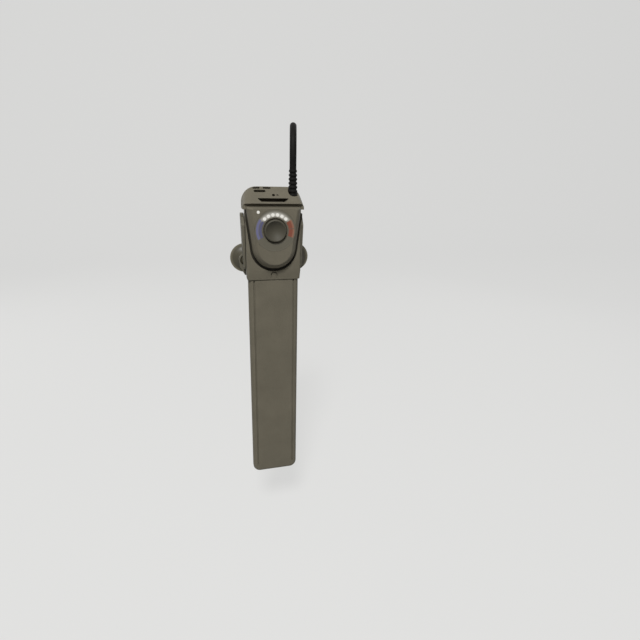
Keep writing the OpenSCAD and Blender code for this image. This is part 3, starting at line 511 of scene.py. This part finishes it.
def turned_chain(bm, start, centre, angle, steps):
    """Draws an arc from a vertex, about an axis that runs from front to back. Gives its last vertex."""
    result = bmesh.ops.spin(bm, geom=[start], cent=centre, axis=(0, 1, 0), dvec=(0, 0, 0), angle=angle,
                            steps=steps, use_merge=False, use_duplicate=False)
    return verts_of(result["geom_last"])[0]


def tongue(bm, y, inset, top_inset):
    """The cover's outline at one depth: straight sides that meet a round foot. Gives its edges."""
    known = set(bm.edges)
    half, r, top = cover_half - inset, foot_r - inset, cover_top - top_inset
    touch = math.atan2(top - foot_z, half) - math.acos(r / math.hypot(half, top - foot_z))
    side, corner = half - cover_draft, cover_corner_r
    right = bm.verts.new((r * math.cos(touch), y, foot_z + r * math.sin(touch)))
    left = turned_chain(bm, right, (0, y, foot_z), math.pi + 2 * touch, steps=72)
    up_right = bm.verts.new((side, y, top - corner))
    in_right = turned_chain(bm, up_right, (side - corner, y, top - corner), -math.pi / 2, steps=5)
    in_left = bm.verts.new((-side + corner, y, top))
    up_left = turned_chain(bm, in_left, (-side + corner, y, top - corner), -math.pi / 2, steps=5)
    for pair in ((right, up_right), (in_right, in_left), (up_left, left)):
        bm.edges.new(pair)
    return [e for e in bm.edges if e not in known]


def cutter(bm):
    """Makes a mesh an object to cut with."""
    bmesh.ops.recalc_face_normals(bm, faces=bm.faces)
    mesh = bpy.data.meshes.new("cutter")
    bm.to_mesh(mesh)
    bm.free()
    obj = bpy.data.objects.new("cutter", mesh)
    scene.collection.objects.link(obj)
    return obj


def cut_out(obj, cutters):
    """Cuts the given shapes out of a piece for good, and removes them."""
    for shape in cutters:
        knife = obj.modifiers.new("cut", "BOOLEAN")
        knife.operation = "DIFFERENCE"
        knife.solver = "EXACT"
        knife.object = shape
        baked(obj)
        bpy.data.objects.remove(shape)


def bridged(bm, outlines):
    """Joins closed outlines that follow one another, and closes both ends."""
    for one, other in zip(outlines, outlines[1:]):
        bmesh.ops.bridge_loops(bm, edges=one + other)
    for end in (outlines[0], outlines[-1]):
        bmesh.ops.contextual_create(bm, geom=end)
    bmesh.ops.recalc_face_normals(bm, faces=bm.faces)


def groove_cutter():
    """The cover's outline, wider all round, down to the groove's floor."""
    bm = bmesh.new()
    bridged(bm, [tongue(bm, y, -groove_w, -groove_top) for y in (groove_floor, head_front - past)])
    return cutter(bm)


def recoloured(material, mask, colour):
    """Gives a finish another colour where a mask is 1."""
    tree = material.node_tree
    base = tree.nodes["Principled BSDF"].inputs["Base Color"]
    mix = tree.nodes.new("ShaderNodeMix")
    mix.data_type = "RGBA"
    before, after, mixed = mix.inputs[6], mix.inputs[7], mix.outputs[2]
    after.default_value = (*linear(*colour), 1)
    tree.links.new(mask, mix.inputs["Factor"])
    tree.links.new(base.links[0].from_socket, before)
    tree.links.new(mixed, base)


def groove_shade_group():
    """A mask for painted shade between two depths, where the surface looks forward by more than Facing (below
    -1: any).
    """
    group, given, put = new_group("painted_groove_shade", {"Near": 0.0, "Far": 0.0, "Facing": 0.0}, ["Mask"])
    place = group.nodes.new("ShaderNodeTexCoord")
    spot, slant = (group.nodes.new("ShaderNodeSeparateXYZ") for _ in range(2))
    group.links.new(place.outputs["Object"], spot.inputs[0])
    group.links.new(place.outputs["Normal"], slant.inputs[0])
    behind = reckoned(group, "GREATER_THAN", spot.outputs["Y"], given.outputs["Near"])
    before = reckoned(group, "LESS_THAN", spot.outputs["Y"], given.outputs["Far"])
    forward = reckoned(group, "MULTIPLY", slant.outputs["Y"], -1.0)
    facing = reckoned(group, "GREATER_THAN", forward, given.outputs["Facing"])
    between = reckoned(group, "MULTIPLY", behind, before)
    group.links.new(reckoned(group, "MULTIPLY", between, facing), put.inputs["Mask"])
    return group


# Painted shade: a dark colour in the groove round the cover, where its shadow falls.
painted_groove_shade = groove_shade_group()
painted_shade_colour = (38, 35, 28)
shade_on_floor, shade_from_front = 0.0003, 0.0001


def with_painted_shade(name, near, far, facing):
    """The case's plastic, with painted shade between two depths."""
    material = case_plastic.copy()
    material.name = name
    shade_node = material.node_tree.nodes.new("ShaderNodeGroup")
    shade_node.node_tree = painted_groove_shade
    shade_node.inputs["Near"].default_value = near
    shade_node.inputs["Far"].default_value = far
    shade_node.inputs["Facing"].default_value = facing
    recoloured(material, shade_node.outputs["Mask"], painted_shade_colour)
    return material


# The head's plastic, with painted shade on the groove's floor.
head_plastic = with_painted_shade("head_plastic", near=groove_floor - shade_on_floor, far=groove_floor + shade_on_floor,
                      facing=0.8)
moulded_copy("head_case", "head_housing", "heater", head_plastic, width=0.0002,
             cutters=[groove_cutter()])
dress("temperature_probe", probe_metal)

# ---------------------------------------------------------------- circuit board
# A green glass-fibre board on three posts in the head. Power switch, capacitor and control chip stand
# behind it, seven lamps and the switch for the button in front. Three steel screws hold it.
dress("circuit_board", finish("board", (18, 96, 56), 0.35, grain=900, coat=0.3))
dress("board_screws", finish("screw_steel", (190, 190, 192), 0.3, metallic=1.0))
chip_black = finish("chip_black", (28, 28, 30), 0.5)
for node in ("power_switch", "controller_chip", "switch_body"):
    dress(node, chip_black)
dress("capacitor", finish("capacitor_yellow", (200, 160, 40), 0.3))
dress("board_lamps", finish("lamp_white", (240, 236, 212), 0.3))
dress("cover_gasket", seal_rubber)

# ---------------------------------------------------------------- front cover
# A raised tongue of the same plastic with rounded flanks, glued on over a gasket. It has a bore for the
# button, wider behind for its flange, a round seat for the dial's ring, and holes for the seven lamps.
button_z, flange_stop, bore_r, flange_room_r = 0.025, -0.0275, 0.0087, 0.00985
flank_w, flank_top, flank_foot, roundness = 0.0041, 0.0009, 0.0008, 0.45
seat_in, seat_out, seat_d = 0.0092, 0.0147, 0.001
lamp_r, lamp_hole_d, lamp_ring_r = 0.0012, 0.003, 0.0111
lamp_angles = (-42.5, -25.5, -8.5, 8.5, 25.5, 42.5)
status_x, status_z, status_r = -0.0118, button_z + 0.0128, 0.00105


def bore(x, z, r, back, front=cover_face - past, inner=0.0, steps=128):
    """A cutter from a back plane to a front one: a round bar, or a ring where inner isn't 0."""
    bm = bmesh.new()
    depth = back - front
    profile = [(inner, 0), (r, 0), (r, depth), (inner, depth)]
    turned(bm, profile + [(inner, 0)] if inner else profile, steps, at=(x, back, z))
    return cutter(bm)


bm = bmesh.new()
outlines = [tongue(bm, groove_floor, 0, 0)]
for angle in range(0, 91, 9):
    even = angle / 90 * (1 - roundness)
    across = even + roundness * (1 - math.cos(math.radians(angle)))
    along = even + roundness * math.sin(math.radians(angle))
    y = head_front - flank_foot - (cover_t - flank_foot) * along
    outlines.append(tongue(bm, y, flank_w * across, flank_top * across))
bridged(bm, outlines)
# The cover's plastic, with painted shade on the foot of its wall, down in the groove.
cover_plastic = with_painted_shade("cover_plastic", near=head_front + shade_from_front, far=groove_floor + past, facing=-2)
front_cover = piece("cover_panel", bm, "heater", cover_plastic)
lamp_places = [(lamp_ring_r * math.sin(math.radians(a)), button_z + lamp_ring_r * math.cos(math.radians(a)))
               for a in lamp_angles]
holes = [bore(0, button_z, seat_out, cover_face + seat_d, inner=seat_in),
         bore(0, button_z, bore_r, flange_stop + past),
         bore(0, button_z, flange_room_r, groove_floor + past, front=flange_stop),
         bore(status_x, status_z, status_r, cover_face + lamp_hole_d, steps=32)]
holes += [bore(x, z, lamp_r, cover_face + lamp_hole_d, steps=32) for x, z in lamp_places]
cut_out(front_cover, holes)
broken_edges(front_cover, width=0.00016, limit=50)
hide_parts("front_cover")

# ---------------------------------------------------------------- dial
# A ring of smoked clear plastic, dropped into the cover. Blue and red bars are printed under its face,
# each with a paler outer band, and a row of white lamps shines through it.


def ramp(tree, source, low, high, at_low=0.0, at_high=1.0):
    """A soft step from one value to another, as the source goes from low to high."""
    node = tree.nodes.new("ShaderNodeMapRange")
    node.interpolation_type = "SMOOTHSTEP"
    node.inputs["From Min"].default_value = low
    node.inputs["From Max"].default_value = high
    node.inputs["To Min"].default_value = at_low
    node.inputs["To Max"].default_value = at_high
    tree.links.new(source, node.inputs["Value"])
    return node.outputs["Result"]


def ring_group():
    """Two masks on the dial, from a point's distance to its middle: the outer band, and the lamps' haze."""
    group, given, put = new_group("dial_rings", {"Border": 0.0115}, ["Outer", "Haze"])
    made, link = group.nodes.new, group.links.new
    place = made("ShaderNodeTexCoord")
    centred = made("ShaderNodeMapping")
    centred.inputs["Location"].default_value = (0, 0, -button_z)
    centred.inputs["Scale"].default_value = (1, 0, 1)
    link(place.outputs["Object"], centred.inputs["Vector"])
    length = made("ShaderNodeVectorMath")
    length.operation = "LENGTH"
    link(centred.outputs["Vector"], length.inputs[0])
    reach = length.outputs["Value"]
    link(reckoned(group, "GREATER_THAN", reach, given.outputs["Border"]), put.inputs["Outer"])
    parts = made("ShaderNodeSeparateXYZ")
    link(centred.outputs["Vector"], parts.inputs[0])
    fade_in = ramp(group, reach, low=0.0088, high=0.0108)
    fade_out = ramp(group, reach, low=0.0112, high=0.0142, at_low=1.0, at_high=0.0)
    upper_part = ramp(group, parts.outputs["Z"], low=0.0050, high=0.0084)
    ring = reckoned(group, "MULTIPLY", fade_in, fade_out)
    link(reckoned(group, "MULTIPLY", ring, upper_part), put.inputs["Haze"])
    return group


dial_rings = ring_group()


def banded(material, outer_colour, border, haze=0.0):
    """Another colour outside a circle of the dial, and the lamps' haze with its strength."""
    tree = material.node_tree
    rings = tree.nodes.new("ShaderNodeGroup")
    rings.node_tree = dial_rings
    rings.inputs["Border"].default_value = border
    recoloured(material, rings.outputs["Outer"], outer_colour)
    if haze:
        light = tree.nodes.new("ShaderNodeVectorMath")
        light.operation = "SCALE"
        light.inputs[0].default_value = (0.95, 0.93, 0.88)
        tree.links.new(rings.outputs["Haze"], light.inputs["Scale"])
        shader = tree.nodes["Principled BSDF"]
        tree.links.new(light.outputs["Vector"], shader.inputs["Emission Color"])
        shader.inputs["Emission Strength"].default_value = haze
    return material


smoke = finish("dial_smoke", (88, 84, 71), 0.32, grain=2000, clouds=0.1, depth=0.00001)
dress("dial_window", banded(smoke, (92, 88, 75), border=0.0138, haze=0.36))
blue = finish("bar_blue", (78, 78, 106), 0.3, clouds=0.15)
dress("blue_bar", banded(blue, (98, 98, 130), border=0.0117))
red = finish("bar_red", (118, 62, 43), 0.3, clouds=0.15)
dress("red_bars", banded(red, (132, 92, 72), border=0.0125))
clear_lens = finish("lamp_clear", (158, 156, 148), 0.25, clouds=0.1, depth=0.00001)
shader = clear_lens.node_tree.nodes["Principled BSDF"]
shader.inputs["Emission Color"].default_value = (1, 0.98, 0.93, 1)
shader.inputs["Emission Strength"].default_value = 0.42
dress("lamp_lenses", clear_lens)
dress("status_lens", clear_lens)

# ---------------------------------------------------------------- button
# A dark cap with a dished face and a rounded rim. Its skirt slides in the cover's bore, a flange keeps it
# in, a rubber boot seals it, and its stem presses on the red plunger of the switch.
button_r, rim_r, dish_d, face_out = 0.0079, 0.0009, 0.003, 0.0053
skirt_r, skirt_out, step_out = 0.00865, 0.0021, 0.0023
flange_front, flange_r, flange_t, stem_r, stem_in = -0.0273, 0.0091, 0.0008, 0.0024, 0.0028
dish_steps = 14
dark_cap = finish("button_plastic", (66, 63, 53), 0.6, clouds=0.15, depth=0.00002, gloss=0.25)
face_r = button_r - rim_r
rim = [(face_r + rim_r * math.cos(math.radians(a)), face_out - rim_r + rim_r * math.sin(math.radians(a)))
       for a in range(0, 91, 15)]
dish = [(face_r * (1 - i / dish_steps), face_out - dish_d * (1 - (1 - i / dish_steps) ** 2))
        for i in range(1, dish_steps + 1)]
bm = bmesh.new()
turned(bm, [(0, -stem_in), (stem_r, -stem_in), (stem_r, -flange_t), (flange_r, -flange_t), (flange_r, 0),
            (skirt_r, 0), (skirt_r, skirt_out), (button_r, step_out), *rim, *dish],
       steps=128, at=(0, flange_front, button_z))
button = piece("button_cap", bm, "button", dark_cap)
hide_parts("button")
dress("button_seal", seal_rubber)
dress("switch_plunger", finish("plunger_red", (150, 30, 26), 0.4))

# ---------------------------------------------------------------- cap
# The cap that is welded on top of the head, of the same plastic: rounded shoulders, a sloped front with
# vent slots and pin holes, and a deep ledge over a thin lip, to pull the heater up by.
cap_foot, cap_top, cap_half, shoulder_r = 0.039, 0.054, 0.022, 0.011
slope_back, slope_front, lip_top, lip_foot, lip_rise = -0.014, -0.0246, 0.0442, 0.0424, 0.0013
cap_back, cap_front, ledge_back = -0.0109, -0.0261, -0.013
back_round, back_drop, upright = 0.001, 0.0008, 0.0005
lip_round, lip_side, lip_drop = 0.0015, 0.001, 0.0012


def arch(bm, y, half, top, r):
    """The cap's outline at one depth: upright sides, rounded shoulders, flat top. Gives its edges."""
    known = set(bm.edges)
    foot_right, foot_left = bm.verts.new((half, y, cap_foot)), bm.verts.new((-half, y, cap_foot))
    right = bm.verts.new((half, y, top - r))
    in_right = turned_chain(bm, right, (half - r, y, top - r), -math.pi / 2, steps=14)
    in_left = bm.verts.new((-half + r, y, top))
    left = turned_chain(bm, in_left, (-half + r, y, top - r), -math.pi / 2, steps=14)
    for pair in ((foot_right, right), (in_right, in_left), (left, foot_left), (foot_left, foot_right)):
        bm.edges.new(pair)
    return [e for e in bm.edges if e not in known]


# Each outline from back to front: its depth, half its width, its top and its shoulders' radius.
front_r = lip_top - cap_foot - upright
slices = [(cap_back, cap_half - back_drop, cap_top - back_drop, shoulder_r)]
for angle in (30, 60, 90):
    turn, drop = math.radians(angle), back_drop * (1 - math.sin(math.radians(angle)))
    slices.append((cap_back - back_round * (1 - math.cos(turn)), cap_half - drop, cap_top - drop, shoulder_r))
slices += [(slope_back, cap_half, cap_top, shoulder_r), (slope_front, cap_half, lip_top, front_r)]
for angle in (22.5, 45, 67.5, 90):
    turn, fall = math.radians(angle), 1 - math.cos(math.radians(angle))
    slices.append((slope_front - lip_round * math.sin(turn), cap_half - lip_side * fall,
                   lip_top - lip_drop * fall, front_r - lip_side * fall))
bm = bmesh.new()
bridged(bm, [arch(bm, *values) for values in slices])
top_cap = piece("cap_cover", bm, "heater", case_plastic)

slope = math.atan2(cap_top - lip_top, slope_back - slope_front)
on_slope = Matrix.Translation((0, slope_back, cap_top)) @ Matrix.Rotation(slope, 4, "X")


def slot_cutter(x, y, width, height, depth, corner):
    """A rounded slot across the cap's slope; x and y are its middle."""
    bm = bmesh.new()
    bmesh.ops.create_cube(bm, size=1)
    bmesh.ops.scale(bm, vec=(width, height, depth + past), verts=bm.verts)
    rounded(bm, [e for e in bm.edges if abs(e.verts[0].co.z - e.verts[1].co.z) > tiny], corner, segments=5)
    bmesh.ops.translate(bm, vec=(x, y, (past - depth) / 2), verts=bm.verts)
    bmesh.ops.transform(bm, matrix=on_slope, verts=bm.verts)
    return cutter(bm)


def ledge_cutter(low, high, back, width=0.0226, narrowing=0.78, corner=0.0006):
    """The mouth of the finger ledge: wider at its upper edge, and cut straight back into the cap."""
    bm = bmesh.new()
    bmesh.ops.create_cube(bm, size=1)
    bmesh.ops.scale(bm, vec=(width, back - slope_front + past, high - low), verts=bm.verts)
    bmesh.ops.scale(bm, vec=(narrowing, 1, 1), verts=[v for v in bm.verts if v.co.z < 0])
    rounded(bm, [e for e in bm.edges if abs(e.verts[0].co.y - e.verts[1].co.y) > tiny], corner, segments=4)
    bmesh.ops.translate(bm, vec=(0, (back + slope_front - past) / 2, (low + high) / 2), verts=bm.verts)
    return cutter(bm)


def box_cutter(low, high, rise=0.0):
    """A box between two corners; rise lifts its front upper edge."""
    bm = bmesh.new()
    bmesh.ops.create_cube(bm, size=1)
    front_edge = [v for v in bm.verts if v.co.y < 0 and v.co.z > 0]
    low, high = Vector(low), Vector(high)
    bmesh.ops.scale(bm, vec=high - low, verts=bm.verts)
    bmesh.ops.translate(bm, vec=(low + high) / 2, verts=bm.verts)
    bmesh.ops.translate(bm, vec=(0, 0, rise), verts=front_edge)
    return cutter(bm)


# Each slot or hole in the slope: its middle, its width, height and depth, and its corners' radius.
slots = [(-0.009, -0.0042, 0.0084, 0.0022, 0.003, 0.0009),
         (0.0005, -0.0079, 0.0022, 0.0022, 0.003, 0.001),
         (0.0034, -0.0079, 0.0015, 0.0015, 0.0012, 0.0006),
         (-0.0112, -0.0012, 0.005, 0.0016, 0.002, 0.0006),
         (-0.0036, -0.0012, 0.0056, 0.0016, 0.002, 0.0006)]
under_lip_half, pocket_half, pocket_front, pocket_foot = 0.024, 0.0085, -0.0232, cap_foot + 0.0018
ledge_low, ledge_high = lip_top + 0.0001, lip_top + 0.0024
relief_seat_r, relief_seat_h = 0.0036, 0.02
seat = bmesh.new()
turned(seat, [(0, 0), (relief_seat_r, 0), (relief_seat_r, relief_seat_h), (0, relief_seat_h)], steps=48,
       at=(outlet.x, outlet.y, relief_foot_z), axis="Z")
cut_out(top_cap, [
    box_cutter((-under_lip_half, cap_front - past, cap_foot - past), (under_lip_half, head_front, lip_foot),
               rise=lip_rise),
    ledge_cutter(ledge_low, ledge_high, ledge_back),
    box_cutter((-pocket_half, pocket_front, pocket_foot), (pocket_half, ledge_back, lip_top + 0.0004)),
    *[slot_cutter(*slot) for slot in slots],
    cutter(seat),
])
broken_edges(top_cap, width=0.0003, limit=40)
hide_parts("top_cap")

# ---------------------------------------------------------------- holder
# A back plate with a window for the probe and two side wings whose rails run in the head's grooves, all
# one moulding of darker plastic. It stays on the glass while the heater slides up out of it.
holder_plastic = finish("holder_plastic", (90, 86, 74), 0.52, grain=2800, gloss=0.25)
wing_in, wing_top, wing_longer = 0.0205, 0.0325, 0.0027


def longer_wings(bm):
    """Raises the wings' upper ends beside the head; the rails in the head's grooves stay as they are."""
    for x in (-wing_in, wing_in):
        sliced(bm, (x, 0, 0), (1, 0, 0))
    bm.normal_update()
    tops = [f for f in bm.faces if f.normal.z > 0.99 and f.calc_center_median().z > wing_top - tiny
            and abs(f.calc_center_median().x) > wing_in]
    pushed(bm, tops, (0, 0, wing_longer))
    bmesh.ops.recalc_face_normals(bm, faces=bm.faces)


moulded_copy("holder_frame", "holder", "holder", holder_plastic, width=0.0002,
             reshape=longer_wings)

# ---------------------------------------------------------------- suction cups
# Two bells of soft grey silicone, thin at the rim, each buttoned through the holder by a neck and a knob.
# Their thin rims carry a painted highlight, a paler colour.
cup_x, cup_r, cup_h, rim_w, hollow_d, bell_steps = 0.0195, 0.01125, 0.0065, 0.0011, 0.0018, 14
bell_foot, bell_rise, bell_curve, edge_r = 0.0005, cup_h - 0.0015, 2.2, 0.0002
neck_r, neck_h, knob_r, knob_h, knob_side, knob_slant = 0.0026, 0.0018, 0.004, 0.0018, 0.0007, 0.0012


def painted_rim_highlight(material, colour, low, high, share):
    """Paints a highlight on the cups' thin rims: a paler colour, by the distance to each cup's axis."""
    tree = material.node_tree
    place = tree.nodes.new("ShaderNodeTexCoord")
    parts = tree.nodes.new("ShaderNodeSeparateXYZ")
    joined = tree.nodes.new("ShaderNodeCombineXYZ")
    radius = tree.nodes.new("ShaderNodeVectorMath")
    radius.operation = "LENGTH"
    tree.links.new(place.outputs["Object"], parts.inputs[0])
    aside = reckoned(tree, "ABSOLUTE", parts.outputs["X"])
    tree.links.new(reckoned(tree, "SUBTRACT", aside, cup_x), joined.inputs["X"])
    tree.links.new(parts.outputs["Z"], joined.inputs["Z"])
    tree.links.new(joined.outputs[0], radius.inputs[0])
    mask = ramp(tree, radius.outputs["Value"], low, high, at_high=share)
    recoloured(material, mask, colour)


cup_silicone = finish("cup_silicone", (68, 64, 51), 0.45, clouds=0.2, depth=0.00002, gloss=0.35)
# Painted highlight: the rims are made paler than the bells.
painted_rim_highlight(cup_silicone, (116, 111, 94), low=0.0088, high=0.0112, share=0.75)
hollow_r, bell_r = cup_r - rim_w, neck_r + 0.001
hollow = [(hollow_r * i / bell_steps, hollow_d * math.cos(math.radians(90 * i / bell_steps)))
          for i in range(bell_steps)]
bell = [(cup_r - (cup_r - bell_r) * i / bell_steps, bell_foot + bell_rise * (i / bell_steps) ** bell_curve)
        for i in range(bell_steps + 1)]
knob_foot, knob_top = cup_h + neck_h, cup_h + neck_h + knob_h
cup_profile = [*hollow, (hollow_r, 0), (cup_r - edge_r, 0), (cup_r, edge_r), *bell, (bell_r, cup_h),
               (neck_r, cup_h), (neck_r, knob_foot), (knob_r - edge_r, knob_foot),
               (knob_r, knob_foot + edge_r), (knob_r, knob_foot + knob_side), (knob_r - knob_slant, knob_top),
               (0, knob_top)]
for side, name, node in ((-1, "cup_left", "suction_cup_left"), (1, "cup_right", "suction_cup_right")):
    bm = bmesh.new()
    turned(bm, cup_profile, steps=96, at=(side * cup_x, 0, 0))
    cup = piece(name, bm, "holder", cup_silicone)
    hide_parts(node)
